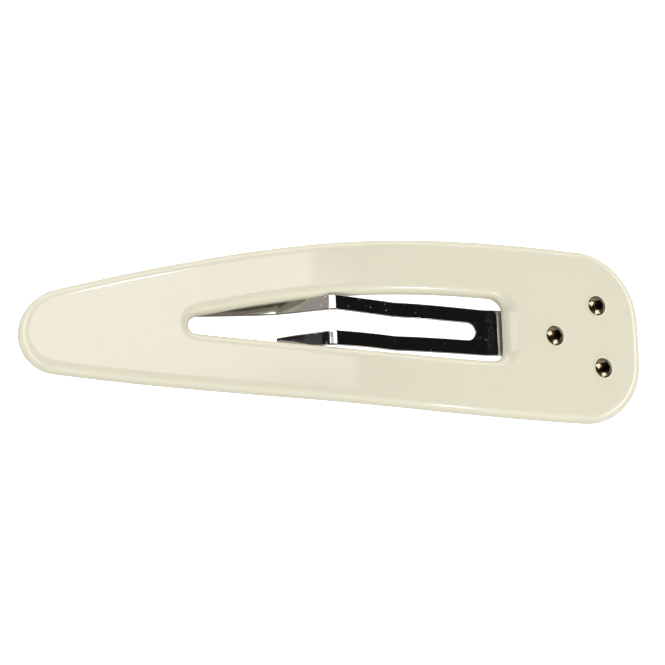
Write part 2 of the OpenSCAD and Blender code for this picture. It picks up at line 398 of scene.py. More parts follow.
# Smoky brown cut glass whose reflections are faintly brown as well
STONE_GLASS = Mottled("stone_glass", pale=(0.11, 0.077, 0.04, 1.0), deep=(0.07, 0.047, 0.02, 1.0),
                      scale=(500, 500, 500), roughness=0.0, spread=0.01, glassy=1.0, ior=1.56,
                      sheen=(1.0, 0.82, 0.50, 1.0))

# Warm mirror foil behind a stone, worn in places
STONE_FOIL = Mottled("stone_foil", pale=(0.62, 0.54, 0.42, 1.0), deep=(0.36, 0.29, 0.20, 1.0),
                     scale=(900, 900, 900), roughness=0.02, spread=0.05, metallic=1.0)

# Yellowish resin that beads round a stone
SETTING_RESIN = Mottled("setting_resin", pale=(0.95, 0.90, 0.66, 1.0),
                        deep=(0.90, 0.84, 0.58, 1.0), scale=(800, 800, 800), roughness=0.05,
                        spread=0.1)


# Geometry


@dataclass(frozen=True)
class Arch:
    """The long arch that the plate's upper face follows."""

    apex: float
    slope: float = 0.32
    rounding: float = 13.8

    def top(self, x: np.ndarray) -> np.ndarray:
        """Height of the arch at each place along the clip, by a hyperbola."""
        # Apex less slope times (root of x squared plus rounding squared, less the rounding)
        return self.apex - self.slope * (np.hypot(x, self.rounding) - self.rounding)

    def lean(self, x: float) -> float:
        """Angle of the arch at a place, in radians, positive where it goes down."""
        return math.atan(self.slope * x / math.hypot(x, self.rounding))

    def stand(self, x: float, y: float) -> Matrix:
        """Place on the arch at x along and y across the clip, with Z along its normal."""
        spot = Matrix.Translation((x, y, float(self.top(np.array(x)))))
        return spot @ Matrix.Rotation(self.lean(x), 4, "Y")


@dataclass(frozen=True)
class Outline:
    """Teardrop outline of four tangent arcs a side: nose, long side, corner and end.

    It lies between x0 and x1. A negative end radius makes a hollow end.
    """

    x0: float
    x1: float
    nose: float
    half_w: float
    belly: float
    corner: float
    end: float

    def arcs(self) -> np.ndarray:
        """The four arcs of the upper half.

        The long side's centre is where its arc touches the nose and is widest at the
        belly. The corner's centre is where circles of the two radius differences, drawn
        round the side's and the end's centres, cross.

        Returns:
            Centre x, centre y, radius, first angle and last angle of each arc.
        """
        nose_x, side_x = self.x0 + self.nose, self.x1 - self.belly
        side = ((side_x - nose_x) ** 2 / (self.half_w - self.nose) + self.nose + self.half_w) / 2
        side_y = self.half_w - side
        end_x = self.x1 - self.end
        along = np.array([end_x - side_x, -side_y])
        dist = float(np.hypot(*along))
        reach = ((side - self.corner) ** 2 - (self.end - self.corner) ** 2 + dist**2) / (2 * dist)
        bulge = math.copysign(1.0, self.end)
        rise = bulge * math.sqrt((side - self.corner) ** 2 - reach**2)
        unit = along / dist
        mid_x = side_x + unit[0] * reach + unit[1] * rise
        mid_y = side_y + unit[1] * reach - unit[0] * rise
        side_turn = math.atan2(-side_y, nose_x - side_x)
        corner_turn = math.atan2(mid_y - side_y, mid_x - side_x)
        end_turn = math.atan2(bulge * mid_y, bulge * (mid_x - end_x))
        return np.array([
            [nose_x, 0.0, self.nose, math.pi, side_turn],
            [side_x, side_y, side, side_turn, corner_turn],
            [mid_x, mid_y, self.corner, corner_turn, end_turn],
            [end_x, 0.0, self.end, end_turn, 0.0],
        ])

    def half(self, inset: np.ndarray, steps: Sequence[int]) -> np.ndarray:
        """Points of the upper half, moved inwards.

        Each arc is walked in even angles with its radius less the inset.

        Args:
            inset: one inset for each loop.
            steps: steps along each of the four arcs.

        Returns:
            Array of loops by points by (x, y), from the narrow end to the wide end.
        """
        runs = []
        for (mid_x, mid_y, radius, first, last), count in zip(self.arcs(), steps):
            angle = first + (last - first) * np.arange(count) / count
            runs.append(polar(radius - inset[:, None], angle, mid_x, mid_y))
        end = np.stack([self.x1 - inset, np.zeros_like(inset)], -1)[:, None, :]
        points = np.concatenate(runs + [end], axis=1)
        points[:, 0, 1] = 0.0
        return points


def polar(radius: np.ndarray | float, angle: np.ndarray, x: float = 0.0,
          y: float = 0.0) -> np.ndarray:
    """Points (x, y) at a radius and angles round a centre."""
    return np.stack([x + radius * np.cos(angle), y + radius * np.sin(angle)], -1)


def ring_faces(stations: int, points: int) -> np.ndarray:
    """Quads of a ring closed both ways.

    Each quad joins a point and the next of one station to those of the next station.

    Args:
        stations: number of stations.
        points: number of points in each station.

    Returns:
        Four corner numbers for each quad.
    """
    here = np.arange(stations * points).reshape(stations, points)
    beside = np.roll(here, -1, 0)
    quads = np.stack([here, beside, np.roll(beside, -1, 1), np.roll(here, -1, 1)], -1)
    return quads.reshape(-1, 4)


def volume(points: np.ndarray, quads: np.ndarray) -> float:
    """Signed volume inside quads, by the sum of the tetrahedra to the origin."""
    a, b, c, d = (points[quads[:, k]] for k in range(4))
    return float((np.cross(a, b) * c + np.cross(a, c) * d).sum()) / 6


def closed_ring(half: np.ndarray) -> Mesh:
    """Closes half a ring of sections with its mirror image in the plane y = 0.

    The quads are turned round where the signed volume inside them is negative.

    Args:
        half: sections by points by (x, y, z), both end sections on the centre line.

    Returns:
        The points, and quads that face outwards.
    """
    ring = np.concatenate([half, half[-2:0:-1] * np.array([1.0, -1.0, 1.0])])
    points = ring.reshape(-1, 3)
    quads = ring_faces(*ring.shape[:2])
    return points, quads if volume(points, quads) > 0 else quads[:, ::-1]


def faces_of(*kinds: Sequence) -> list:
    """Faces, one of each kind in turn, from a number or an array of them for each corner."""
    stacks = [np.stack(np.broadcast_arrays(*corners), -1).tolist() for corners in kinds]
    return [face for group in zip(*stacks) for face in group]


def lathe(profile: np.ndarray, steps: int) -> Mesh:
    """Turns a closed profile about Z.

    Each profile point becomes a level circle of points at even angles. A profile that
    starts and ends on the axis is closed there with fans.

    Args:
        profile: points of (radius, height), going upwards on the outside.
        steps: number of angles.

    Returns:
        The points and the faces.
    """
    angle = np.arange(steps) * 2 * np.pi / steps
    solid = profile[0, 0] == 0
    body = profile[1:-1] if solid else profile
    radius, height = body[:, :1], np.broadcast_to(body[:, 1:], (len(body), steps))
    ring = np.stack([radius * np.cos(angle), radius * np.sin(angle), height], -1)
    points = ring.reshape(-1, 3)
    quads = ring_faces(len(body), steps)[:, ::-1].tolist()
    if not solid:
        return points, quads
    caps = [[0.0, 0.0, profile[0, 1]], [0.0, 0.0, profile[-1, 1]]]
    low, high, top = len(points), len(points) + 1, len(points) - steps
    here = np.arange(steps)
    after = (here + 1) % steps
    foot, head = faces_of((low, after, here)), faces_of((high, top + here, top + after))
    return np.concatenate([points, caps]), quads[:-steps] + foot + head


def moved(matrix: Matrix, points: np.ndarray) -> np.ndarray:
    """Moves points by a matrix."""
    rows = np.array(matrix)
    return points @ rows[:3, :3].T + rows[:3, 3]


def eased(count: int, pull: float = 2.2) -> np.ndarray:
    """Shares that crowd towards 0 and 1: half of 1 plus the pull-th root of even steps."""
    t = np.linspace(-1, 1, count + 2)[1:-1]
    return 0.5 + 0.5 * np.sign(t) * np.abs(t) ** (1 / pull)


def edge_arc(edge: float, radius: float, height: float, first: float, last: float,
             steps: int) -> np.ndarray:
    """Quarter round of a flat ring's section, between two angles in degrees.

    The inset is the radius less its cosine part, and the height is the sine part more
    than the centre's height.

    Args:
        edge: 0 on the outer outline and 1 on the inner one.
        radius: radius of the quarter round.
        height: height of its centre.
        first: first angle.
        last: last angle.
        steps: steps along it.

    Returns:
        Rows of (share across, inset, height).
    """
    angle = np.radians(np.linspace(first, last, steps + 1))
    return np.stack([
        np.full_like(angle, edge), radius * (1 - np.cos(angle)), height + radius * np.sin(angle)
    ], -1)


def flat_run(first: float, last: float, inset: float, height: float, count: int) -> np.ndarray:
    """Flat of a ring's section between its two edges, as rows of an edge arc."""
    share = first + (last - first) * eased(count)
    return np.stack([share, np.full_like(share, inset), np.full_like(share, height)], -1)


def skin(outer: Outline, inner: Outline, section: np.ndarray, arch: Arch, drop: float,
         steps: Sequence[int], end_inset: np.ndarray | None = None) -> Mesh:
    """A flat ring between two outlines, laid on the arch.

    A section point lies its share of the way from the outer outline, moved in by the
    inset, to the inner outline, moved out by it. Its height is the arch's there, less the
    drop, plus the section's own.

    Args:
        outer: outline of the ring.
        inner: outline of its opening.
        section: rows of (share across, inset, height).
        arch: the arch.
        drop: depth of the ring's underside below the arch.
        steps: steps along the four arcs.
        end_inset: insets from the opening at its wide end, where they differ; they come
            in along the opening's corners.

    Returns:
        The points, and quads that face outwards.
    """
    share, inset, height = section.T
    outside = outer.half(inset, steps)
    inside = inner.half(-inset, steps)
    if end_inset is not None:
        turn = np.clip((np.arange(inside.shape[1]) - sum(steps[:2])) / steps[2], 0, 1)
        turn = (turn**2 * (3 - 2 * turn))[None, :, None]
        inside = inside * (1 - turn) + inner.half(-end_inset, steps) * turn
    xy = outside + (inside - outside) * share[:, None, None]
    z = arch.top(xy[..., 0]) - drop + height[:, None]
    return closed_ring(np.concatenate([xy, z[..., None]], -1).transpose(1, 0, 2))


# Objects


def made(name: str, shape: Mesh) -> bpy.types.Mesh:
    """Makes a mesh in metres.

    Args:
        name: its name.
        shape: points in millimetres, and the faces between them.

    Returns:
        The mesh.
    """
    points, faces = shape
    mesh = bpy.data.meshes.new(name)
    mesh.from_pydata((points * MM).tolist(), [], [list(face) for face in faces])
    return mesh


def linked(name: str, data: bpy.types.ID) -> bpy.types.Object:
    """Puts a mesh, a lamp or a camera into the scene.

    Args:
        name: the object's name.
        data: what it shows.

    Returns:
        The object.
    """
    thing = bpy.data.objects.new(name, data)
    bpy.context.scene.collection.objects.link(thing)
    return thing


@dataclass
class Piece:
    """One visible piece on its way into the scene."""

    name: str
    body: Body
    slot: Slot
    finish: bpy.types.Material
    stands_for: tuple[str, ...] = ()

    def place(self, shape: Mesh, sharp_deg: float = 35.0,
              flat: bool = False) -> bpy.types.Object:
        """Makes the mesh and its object, hangs it on its body and hides the CAD parts it stands
        for.

        Args:
            shape: corners in millimetres, and faces that run anticlockwise from outside.
            sharp_deg: edges sharper than this stay sharp.
            flat: whether every face is shaded flat, as on a cut stone.

        Returns:
            The object.
        """
        mesh = made(self.name, shape)
        mesh.update()
        mesh.polygons.foreach_set("use_smooth", [not flat] * len(mesh.polygons))
        if not flat:
            mesh.set_sharp_from_angle(angle=math.radians(sharp_deg))
        mesh.materials.append(self.finish)
        thing = linked(self.name, mesh)
        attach(thing, self.body.value)
        if self.stands_for:
            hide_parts(*self.stands_for)
        LOG.info("%s: %d faces on %s", self.name, len(mesh.polygons), self.body.value)
        return thing


# Sub-assemblies


@dataclass
class Shell:
    """The glossy plate with its window and its three seats.

    end_rim gives the upper rim at the window's wide end: depth below the face, and the
    distance in from where the rim starts to fall.
    """

    arch: Arch
    thick: float = 2.0
    edge_r: float = 1.2
    under_r: float = 0.5
    window_under_r: float = 0.2
    end_rim: Sequence[Row] = (
        (0.0, 0.0), (0.004, 0.1), (0.02, 0.2), (0.07, 0.37), (0.145, 0.56), (0.24, 0.76),
        (0.35, 0.96), (0.48, 1.16), (0.6, 1.31), (0.74, 1.47), (0.88, 1.61), (1.02, 1.74),
        (1.12, 1.82), (1.2, 1.85)
    )
    nose_r: float = 5.0
    belly: float = 12.5
    corner_r: float = 7.8
    end_r: float = 60.0
    solid_narrow: float = 18.8
    solid_wide: float = 17.8
    rail: float = 6.55
    window_nose_r: float = 1.1
    window_belly: float = 2.7
    window_corner_r: float = 1.7
    window_end_r: float = 90.0
    sharp_deg: float = 50.0
    seat_sides: int = 96
    steps: Sequence[int] = (24, 110, 34, 10)
    finish: CreamGloss = CreamGloss()

    def __post_init__(self) -> None:
        """Takes the plate's length and width from its CAD box."""
        low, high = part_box("plate")
        self.x0, self.x1, self.half_w = low[0] / MM, high[0] / MM, high[1] / MM
        self.outline = Outline(self.x0, self.x1, self.nose_r, self.half_w, self.belly,
                               self.corner_r, self.end_r)
        self.window = Outline(self.x0 + self.solid_narrow, self.x1 - self.solid_wide,
                              self.window_nose_r, self.half_w - self.rail,
                              self.window_belly, self.window_corner_r, self.window_end_r)

    def section(self) -> np.ndarray:
        """Section of the plate: rounded above, eased below, flat between.

        Returns:
            Rows of (share across, inset, height).
        """
        edge, under, rim = self.edge_r, self.under_r, self.window_under_r
        back = flat_run(1, 0, under, 0.0, 9)
        back[:, 1] = rim + (under - rim) * (1 - back[:, 0])
        return np.concatenate([
            edge_arc(0, under, under, -90, 0, 5),
            edge_arc(0, edge, self.thick - edge, 0, 90, 12),
            flat_run(0, 1, edge, self.thick, 13),
            edge_arc(1, edge, self.thick - edge, 90, 0, 24),
            edge_arc(1, rim, rim, 0, -90, 5),
            back,
        ])

    def end_inset(self, section: np.ndarray) -> np.ndarray:
        """Insets at the window's wide end, where the rim falls in a broad shallow curve.

        The inset follows the depth below the face along the rows of end_rim.

        Args:
            section: rows of (share across, inset, height).

        Returns:
            One inset for each row.
        """
        depth = self.thick - section[:, 2]
        depths, places = np.array(self.end_rim).T
        broad = places[-1] - np.interp(depth, depths, places)
        return np.where(depth < self.edge_r, broad, section[:, 1])

    def build(self, seats: Sequence[Matrix], seat_r: float,
              seat_depth: float) -> bpy.types.Object:
        """Makes the plate and sinks its seats.

        Args:
            seats: place of each seat, with Z out of the plate.
            seat_r: radius of a seat.
            seat_depth: depth of a seat.

        Returns:
            The plate.
        """
        section = self.section()
        shape = skin(self.outline, self.window, section, self.arch, self.thick, self.steps,
                     self.end_inset(section))
        piece = Piece("plate_shell", Body.CLIP, Slot.PLATE, self.finish.material(), ("plate",))
        plate = piece.place(shape, self.sharp_deg)
        for seat in seats:
            self.sink(plate, seat, seat_r, seat_depth)
        plate.data.set_sharp_from_angle(angle=math.radians(self.sharp_deg))
        return plate

    def sink(self, plate: bpy.types.Object, seat: Matrix, radius: float,
             depth: float) -> None:
        """Cuts one round seat with an exact boolean, applied to the mesh.

        Args:
            plate: the plate.
            seat: place of the seat.
            radius: its radius.
            depth: its depth.
        """
        profile = np.array([[0, -depth], [radius, -depth], [radius, depth], [0, depth]])
        points, faces = lathe(profile, self.seat_sides)
        mesh = made("seat_cutter", (moved(seat, points), faces))
        cutter = linked(mesh.name, mesh)
        cut = plate.modifiers.new("seat", "BOOLEAN")
        cut.operation, cut.solver, cut.object = "DIFFERENCE", "EXACT", cutter
        bpy.context.view_layer.update()
        done = bpy.data.meshes.new_from_object(
            plate.evaluated_get(bpy.context.evaluated_depsgraph_get())
        )
        plate.modifiers.clear()
        plate.data = done
        bpy.data.objects.remove(cutter)
        bpy.data.meshes.remove(mesh)


@dataclass
class SteelFrame:
    """The thin spring-steel ring under the plate."""

    arch: Arch
    shell: Shell
    sheet: float = 0.4
    gap: float = 0.06
    inset: float = 1.6
    leg: float = 3.8
    band: float = 10.0
    hollow: float = 0.3
    corner_r: float = 4.5
    side_gap: float = 0.2
    root_clear_r: float = 2.95
    opening_corner_r: float = 3.0
    edge_r: float = 0.07
    steps: Sequence[int] = (24, 110, 30, 8)
    finish: Steel = FRAME_STEEL

    def build(self) -> bpy.types.Object:
        """Makes the frame with slightly eased sheared edges.

        Returns:
            The frame.
        """
        shell, thick, edge = self.shell, self.sheet, self.edge_r
        half = shell.half_w - self.inset
        corner_y = half - self.corner_r
        hollow_r = (corner_y**2 + self.hollow**2) / (2 * self.hollow) - self.corner_r
        outer = Outline(shell.x0 + self.inset, shell.x1 - self.inset - self.hollow,
                        shell.nose_r - self.inset, half, shell.belly - self.inset,
                        self.corner_r, -hollow_r)
        tongue_x0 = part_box("tongue")[0][0] / MM
        inner = Outline(tongue_x0 - self.side_gap, shell.x1 - self.inset - self.band,
                        self.root_clear_r, half - self.leg, shell.belly,
                        self.opening_corner_r, shell.end_r)
        section = np.concatenate([
            edge_arc(0, edge, edge, -90, 0, 3), edge_arc(0, edge, thick - edge, 0, 90, 3),
            flat_run(0, 1, edge, thick, 9),
            edge_arc(1, edge, thick - edge, 90, 0, 3), edge_arc(1, edge, edge, 0, -90, 3),
            flat_run(1, 0, edge, 0.0, 9),
        ])
        drop = shell.thick + self.gap + thick
        piece = Piece("frame_ring", Body.CLIP, Slot.FRAME, self.finish.material(),
                      ("spring_frame",))
        return piece.place(skin(outer, inner, section, self.arch, drop, self.steps))


@dataclass
class Blade:
    """The slotted tongue with its creased hump.

    Each of the arm_rows has the place along the arm as a share of its length, how far the
    slot's side has gone from the root's opening to the slot's width, the outer side as a
    share of the hump's half width, the crease as a share across the arm, and the rises of
    the slot's side, the crease and the outer side in hump heights. Each of the tip_rows
    has the place from the slot's end to the tip as a share, and the rise there.
    """

    arch: Arch
    shell: Shell
    sheet: float = 0.4
    drop: float = 2.52
    root_r: float = 2.75
    root_half: float = 1.43
    arm_w: float = 1.7
    hump_h: float = 2.3
    hump_gap: float = 0.1
    peak_share: float = 0.547
    slot_short: float = 4.2
    tip_half: float = 2.6
    edge_r: float = 0.07
    crease_r: float = 0.05
    arm_rows: Sequence[Row] = (
        (0.00, 0.0, 0.833, 0.50, 0.00, 0.00, 0.00),
        (0.05, 0.0, 1.004, 0.3, -0.11, -0.11, -0.14),
        (0.11, 0.0, 1.062, 0.15, -0.23, -0.23, -0.34),
        (0.18, 0.0, 1.11, 0.1, -0.34, -0.34, -0.54),
        (0.26, 0.0, 1.13, 0.2, -0.43, -0.43, -0.66),
        (0.316, 0.11, 1.13, 0.29, -0.4, -0.4, -0.605),
        (0.371, 0.1, 1.11, 0.35, -0.317, -0.317, -0.505),
        (0.377, 0.14, 1.109, 0.12, -0.28, -0.288, -0.505),
        (0.427, 0.35, 1.042, 0.427, 0.14, 0.111, -0.02),
        (0.444, 0.38, 1.0, 0.655, 0.278, 0.236, 0.135),
        (0.455, 0.393, 1.005, 0.712, 0.365, 0.318, 0.15),
        (0.459, 0.397, 0.905, 0.891, 0.395, 0.346, 0.32),
        (0.462, 0.4, 0.922, 0.885, 0.42, 0.37, 0.355),
        (0.488, 0.45, 0.952, 0.925, 0.63, 0.574, 0.565),
        (0.504, 0.48, 0.972, 0.935, 0.76, 0.7, 0.695),
        (0.524, 0.515, 0.99, 0.5, 0.965, 0.957, 0.95),
        (0.547, 0.55, 1.007, 0.5, 1.0, 1.0, 1.0),
        (0.6, 0.63, 0.977, 0.5, 0.73, 0.73, 0.73),
        (0.652, 0.7, 0.968, 0.5, 0.467, 0.467, 0.467),
        (0.751, 0.75, 0.968, 0.5, -0.035, -0.035, -0.035),
        (0.83, 0.84, 0.96, 0.5, -0.03, -0.03, -0.03),
        (0.91, 0.93, 0.95, 0.5, -0.06, -0.06, -0.06),
        (1.0, 1.0, 0.935, 0.5, -0.1, -0.1, -0.1),
    )
    tip_rows: Sequence[Row] = (
        (0.0, -0.1), (0.14, -0.13), (0.265, 0.082), (0.45, 0.05), (0.68, 0.0), (1.0, -0.11)
    )
    root_steps: int = 28
    arm_steps: int = 360
    tip_steps: int = 48
    side_steps: int = 14
    arm_crowding: float = 1.7
    tip_crowding: float = 1.4
    crisp_r: float = 0.12
    soft_r: float = 0.6
    soft_until: float = 0.28
    soft_change: float = 0.06
    exact_ends: float = 0.04
    tip_blur: float = 0.15
    sharp_deg: float = 60.0
    finish: Steel = TONGUE_STEEL

    def __post_init__(self) -> None:
        """Places the tongue from its CAD box, and its hump from the window."""
        low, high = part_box("tongue")
        self.root_x = low[0] / MM + self.root_r
        self.tip_x = high[0] / MM
        self.slot_x = self.shell.window.x1 - self.slot_short
        self.length = self.slot_x - self.root_x
        _, side, *_ = self.shell.window.arcs()
        peak = self.root_x + self.peak_share * self.length
        window_half = side[1] + math.sqrt(side[2] ** 2 - (peak - side[0]) ** 2)
        self.hump_half = window_half - self.hump_gap
        self.end_half = self.arm_rows[-1][2] * self.hump_half
        self.slot_half = self.end_half - self.arm_w

    def root(self) -> tuple[np.ndarray, np.ndarray]:
        """The fan round the root's half circle, from the centre line to the arm.

        Returns:
            Inner points and outer points.
        """
        angle = np.radians(np.linspace(180, 90, self.root_steps + 1)[:-1])
        return (polar(self.root_half, angle, self.root_x),
                polar(self.root_r, angle, self.root_x))

    def arm(self) -> tuple[np.ndarray, ...]:
        """Stations along the arm.

        The columns of arm_rows are read at twice as many even steps, blurred a little,
        so that each bend has a small radius, and every second one is kept.

        Returns:
            Inner points, outer points, crease shares and the three rises.
        """
        rows = np.array(self.arm_rows)
        rows[0, 2] = self.root_r / self.hump_half
        fine = np.linspace(0, 1, 2 * self.arm_steps + 1)
        table = np.stack([np.interp(fine, rows[:, 0], rows[:, k]) for k in range(1, 7)], -1)
        table = self.blurred(fine, table)[::2]
        x = self.root_x + fine[::2] * self.length
        inner = self.root_half + (self.slot_half - self.root_half) * table[:, 0]
        outer = table[:, 1] * self.hump_half
        return (np.stack([x, inner], -1), np.stack([x, outer], -1), table[:, 2],
                table[:, 3:] * self.hump_h)

    def tip(self) -> tuple[np.ndarray, np.ndarray]:
        """Inner and outer points of the fan beyond the arm.

        The inner points go round the slot's end. The outer ones go along the straight
        side in the first half of the steps, and round the tip in the second half.

        Returns:
            Inner points and outer points.
        """
        share = np.linspace(0, 1, self.tip_steps + 1)[1:]
        inner = polar(self.slot_half, np.radians(90 * (1 - share)), self.slot_x)
        round_x = self.tip_x - self.tip_half
        straight = np.stack([self.slot_x + (round_x - self.slot_x) * 2 * share,
                             self.end_half + (self.tip_half - self.end_half) * 2 * share], -1)
        rounded = polar(self.tip_half, np.radians(180 * (1 - share)), round_x)
        outer = np.where((share < 0.5)[:, None], straight, rounded)
        inner[-1, 1] = outer[-1, 1] = 0.0
        return inner, outer

    def tip_rise(self, x: np.ndarray) -> np.ndarray:
        """Height over the seat beyond the slot.

        The straight lines between tip_rows are averaged over a short run, which rounds
        their corners.

        Args:
            x: places along the clip.

        Returns:
            The height at each place.
        """
        share = (x - self.slot_x) / (self.tip_x - self.slot_x)
        run = np.linspace(-self.tip_blur, self.tip_blur, 7) / (self.tip_x - self.slot_x)
        table = np.array(self.tip_rows).T
        return np.interp(share[..., None] + run, *table).mean(-1) * self.hump_h

    def blurred(self, fine: np.ndarray, table: np.ndarray) -> np.ndarray:
        """Rounds the corners of the arm's columns.

        Each column is averaged with a bell curve, a wide one on the arm's long bends and
        a narrow one at the crisp creases of the hump, with a soft change between them.

        Args:
            fine: shares along the arm.
            table: columns at those shares.

        Returns:
            The rounded columns.
        """
        step = (fine[1] - fine[0]) * self.length

        def bell(radius: float) -> np.ndarray:
            """Averages the columns.

            Each weight falls with e to the power of minus half the square of its distance
            in radii.

            Args:
                radius: radius of the bell curve.

            Returns:
                The averaged columns.
            """
            reach = int(4 * radius / step) + 1
            curve = np.exp(-0.5 * (np.arange(-reach, reach + 1) * step / radius) ** 2)
            curve = curve / curve.sum()
            padded = np.pad(table, ((reach, reach), (0, 0)), mode="edge")
            return np.stack([np.convolve(column, curve, "valid") for column in padded.T], -1)

        soft = np.clip((self.soft_until - fine) / self.soft_change, 0, 1)[:, None]
        ends = np.clip(np.minimum(fine, 1 - fine) / self.exact_ends, 0, 1)[:, None]
        mixed = bell(self.crisp_r) * (1 - soft) + bell(self.soft_r) * soft
        return table * (1 - ends) + mixed * ends

    def section(self, width: np.ndarray, crease: np.ndarray,
                tip: np.ndarray) -> tuple[np.ndarray, np.ndarray]:
        """The closed section of each station, with the sheet's edges as quarter rounds.

        Points crowd towards the crease by a power of their share of the way to it, and
        beyond the slot towards the slot's end.

        Args:
            width: width of each station.
            crease: share across at which each is creased.
            tip: which stations are beyond the slot.

        Returns:
            Distances from the inner side, and depths below the upper face.
        """
        run = -np.linspace(1, 0, self.side_steps + 1)[:-1] ** self.arm_crowding
        run = np.concatenate([run, [0.0], -run[::-1]])
        share = np.where(run < 0, crease * (1 + run), crease + (1 - crease) * run)
        share[tip] = np.linspace(0, 1, len(run)) ** self.tip_crowding
        edge, arc = self.edge_r, np.radians(np.array([30.0, 60.0, 90.0]))
        upper = edge + (width - 2 * edge) * share
        far = width - edge + edge * np.sin(arc)
        near = np.broadcast_to(edge - edge * np.sin(arc), far.shape)
        fall, flat = edge * (1 - np.cos(arc)), np.zeros(len(run))
        across = [upper, far, far[:, ::-1], upper[:, ::-1], near, near[:, ::-1]]
        depth = [flat, fall, self.sheet - fall[::-1], flat + self.sheet, self.sheet - fall,
                 fall[::-1]]
        return np.concatenate(across, 1), np.concatenate(depth)

    def folded(self, across: np.ndarray, width: np.ndarray, crease: np.ndarray,
               rise: np.ndarray) -> np.ndarray:
        """Height over the seat along the arms.

        It is the mean of the straight lines on both sides of the crease, less half their
        difference rounded by a hyperbola, so that the crease has a small radius.

        Args:
            across: distances from the inner side.
            width: width of each station.
            crease: share across at which each is creased.
            rise: the three rises of each.

        Returns:
            The height at each distance.
        """
        low, middle, high = (rise[:, k:k + 1] for k in range(3))
        left, right = (middle - low) / crease, (high - middle) / (1 - crease)
        past = across / width - crease
        bend = (left - right) / width * self.crease_r / 2
        rounding = np.hypot(past * width / self.crease_r, 1) - 1
        return middle + past * (left + right) / 2 - bend * rounding

    def build(self) -> bpy.types.Object:
        """Makes the tongue from its root, its arm and its tip.

        Returns:
            The tongue.
        """
        root, arm, tip = self.root(), self.arm(), self.tip()
        inner, outer = (np.concatenate([root[k], arm[k], tip[k]]) for k in range(2))
        ends = ((self.root_steps, self.tip_steps), (0, 0))
        crease = np.pad(arm[2][:, None], ends, constant_values=0.5)
        rise = np.pad(arm[3], ends)
        beyond = np.arange(len(inner)) >= len(inner) - self.tip_steps
        width = np.hypot(*(outer - inner).T)[:, None]
        across, depth = self.section(width, crease, beyond)
        unit = (outer - inner) / width
        xy = inner[:, None, :] + unit[:, None, :] * across[..., None]
        height = self.folded(across, width, crease, rise)
        height[beyond] = self.tip_rise(xy[beyond, :, 0])
        z = self.arch.top(xy[..., 0]) - self.drop + height - depth
        half = np.concatenate([xy, z[..., None]], -1)
        half[0, :, 1] = half[-1, :, 1] = 0.0
        piece = Piece("tongue_blade", Body.BLADE, Slot.TONGUE, self.finish.material(),
                      ("tongue",))
        return piece.place(closed_ring(half), self.sharp_deg)


@dataclass
class Rivet:
    """The plain rivet that holds the frame to the plate."""

    arch: Arch
    x: float = -29.5
    head_r: float = 1.6
    head_t: float = 0.5
    shank_r: float = 0.8
    seat: float = 2.46
    gap: float = 0.06
    base: float = 2.0
    grip: float = 1.1
    rim_r: float = 0.18
    chamfer: float = 0.1
    dish: Sequence[Row] = ((0.0, 0.05), (0.5, 0.04), (1.0, 0.01))
    sides: int = 64
    finish: Steel = RIVET_STEEL

    def build(self) -> bpy.types.Object:
        """Turns the rivet: a flat head with an eased rim, and a shank.

        Returns:
            The rivet.
        """
        lean = math.cos(self.arch.lean(self.x))
        low = -self.seat * lean - self.gap - self.head_t
        top = -self.base * lean + self.grip
        arc, rim_r = np.radians(np.linspace(-90, 0, 7)), self.rim_r
        rim = polar(rim_r, arc, self.head_r - rim_r, low + rim_r)
        shank = np.array([
            [self.head_r, low + self.head_t], [self.shank_r, low + self.head_t],
            [self.shank_r, top - self.chamfer], [self.shank_r - self.chamfer, top], [0.0, top],
        ])
        dish = np.array(self.dish) + (0.0, low)
        points, faces = lathe(np.concatenate([dish, rim, shank]), self.sides)
        piece = Piece("rivet_turned", Body.CLIP, Slot.RIVET, self.finish.material(),
                      ("rivet",))
        return piece.place((moved(self.arch.stand(self.x, 0.0), points), faces))


